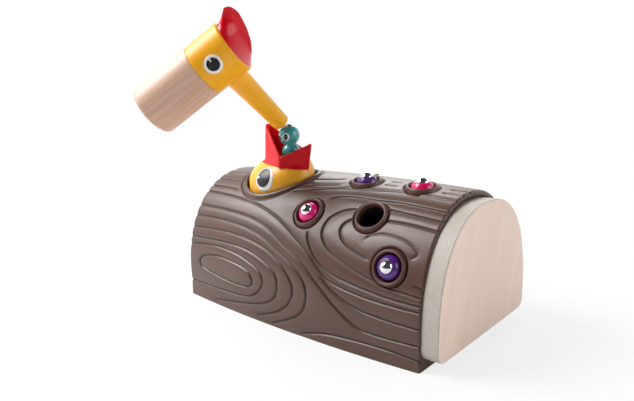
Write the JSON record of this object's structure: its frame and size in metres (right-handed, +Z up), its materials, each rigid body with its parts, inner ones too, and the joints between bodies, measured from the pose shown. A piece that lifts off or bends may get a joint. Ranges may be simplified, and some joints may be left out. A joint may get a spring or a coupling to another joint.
{
  "type": "pop up animal toy",
  "caption": "Half-log toy with worms in holes and a sprung nestling whose open beak holds a worm, lifted out by a magnetic woodpecker hammer.",
  "frame": {"origin": "on the floor under the middle of the log", "axes": "+X along the log towards the panel seen in the picture, -Y to the front, +Z up"},
  "size_m": [0.2443, 0.1972, 0.2329],
  "materials": {
    "bark_plastic": "satin moulded, raised wood grain",
    "plywood": "sanded birch ply, clear matt",
    "board_ply": "plain ply",
    "foot_rubber": "matt",
    "zinc_steel": "zinc plated",
    "cup_plastic": "satin",
    "ball_steel": "polished",
    "spring_steel": "drawn wire",
    "yellow_plastic": "satin moulded",
    "red_plastic": "satin moulded",
    "guide_plastic": "moulded",
    "eye_white": "printed",
    "eye_black": "printed",
    "grip_wood": "turned beech, clear satin",
    "yellow_wood": "painted satin",
    "red_crest": "glossy moulded",
    "worm_teal": "painted gloss",
    "worm_pink": "painted gloss",
    "worm_magenta": "painted gloss",
    "worm_purple": "painted gloss",
    "worm_green": "painted gloss"
  },
  "bodies": {
    "log": {"log_shell": "bark_plastic", "left_end_panel": "plywood", "right_end_panel": "plywood", "base_board": "board_ply", "panel_battens": "board_ply", "rubber_feet": "foot_rubber", "shell_screws": "zinc_steel", "batten_screws": "zinc_steel", "panel_screws": "zinc_steel", "socket_screws": "zinc_steel", "guide_socket": "cup_plastic", "return_spring": "spring_steel", "cup_front_pink": "cup_plastic", "cup_front_empty": "cup_plastic", "cup_front_purple": "cup_plastic", "cup_top_purple": "cup_plastic", "cup_top_magenta": "cup_plastic", "cup_back_green": "cup_plastic"},
    "nestling": {"chick_head": "yellow_plastic", "chick_beak": "red_plastic", "chick_eye_whites": "eye_white", "chick_pupils": "eye_black", "plunger": "guide_plastic", "beak_screws": "zinc_steel", "retaining_ring": "spring_steel"},
    "mouth_worm": {"worm_mouth_teal": "worm_teal", "steel_ball_mouth_teal": "ball_steel"},
    "hammer": {"hammer_grip": "grip_wood", "hammer_head": "yellow_wood", "hammer_dowel": "grip_wood", "hammer_beak": "yellow_wood", "hammer_magnet": "ball_steel", "hammer_crest": "red_crest", "hammer_eye_whites": "eye_white", "hammer_pupils": "eye_black"},
    "worm_front_pink": {"worm_front_pink": "worm_pink", "steel_ball_front_pink": "ball_steel"},
    "worm_front_purple": {"worm_front_purple": "worm_purple", "steel_ball_front_purple": "ball_steel"},
    "worm_top_purple": {"worm_top_purple": "worm_purple", "steel_ball_top_purple": "ball_steel"},
    "worm_top_magenta": {"worm_top_magenta": "worm_magenta", "steel_ball_top_magenta": "ball_steel"},
    "worm_back_green": {"worm_back_green": "worm_green", "steel_ball_back_green": "ball_steel"}
  },
  "joints": [
    {"name": "nestling_press", "type": "slide", "parent": "log", "child": "nestling", "axis": [0, 0, 1], "range_m": [-0.008, 0], "stiffness_N_per_m": 300, "springref_m": 0.012, "deforming": ["return_spring"]},
    {"name": "mouth_worm_lift", "type": "slide", "parent": "nestling", "child": "mouth_worm", "axis": [-0.1305, 0, 0.9914], "range_m": [0, 0.05]},
    {"name": "hammer_pull", "type": "slide", "parent": "mouth_worm", "child": "hammer", "axis": [-0.066, -0.7533, 0.6543], "range_m": [0, 0.06]},
    {"name": "front_pink_worm_lift", "type": "slide", "parent": "log", "child": "worm_front_pink", "axis": [0.0086, -0.7353, 0.6777], "range_m": [0, 0.045]},
    {"name": "front_purple_worm_lift", "type": "slide", "parent": "log", "child": "worm_front_purple", "axis": [0.0737, -0.9322, 0.3545], "range_m": [0, 0.045]},
    {"name": "top_purple_worm_lift", "type": "slide", "parent": "log", "child": "worm_top_purple", "axis": [0.0172, -0.1555, 0.9877], "range_m": [0, 0.045]},
    {"name": "top_magenta_worm_lift", "type": "slide", "parent": "log", "child": "worm_top_magenta", "axis": [0.0374, -0.1116, 0.993], "range_m": [0, 0.045]},
    {"name": "back_green_worm_lift", "type": "slide", "parent": "log", "child": "worm_back_green", "axis": [0.0044, 0.5399, 0.8417], "range_m": [0, 0.045]}
  ]
}
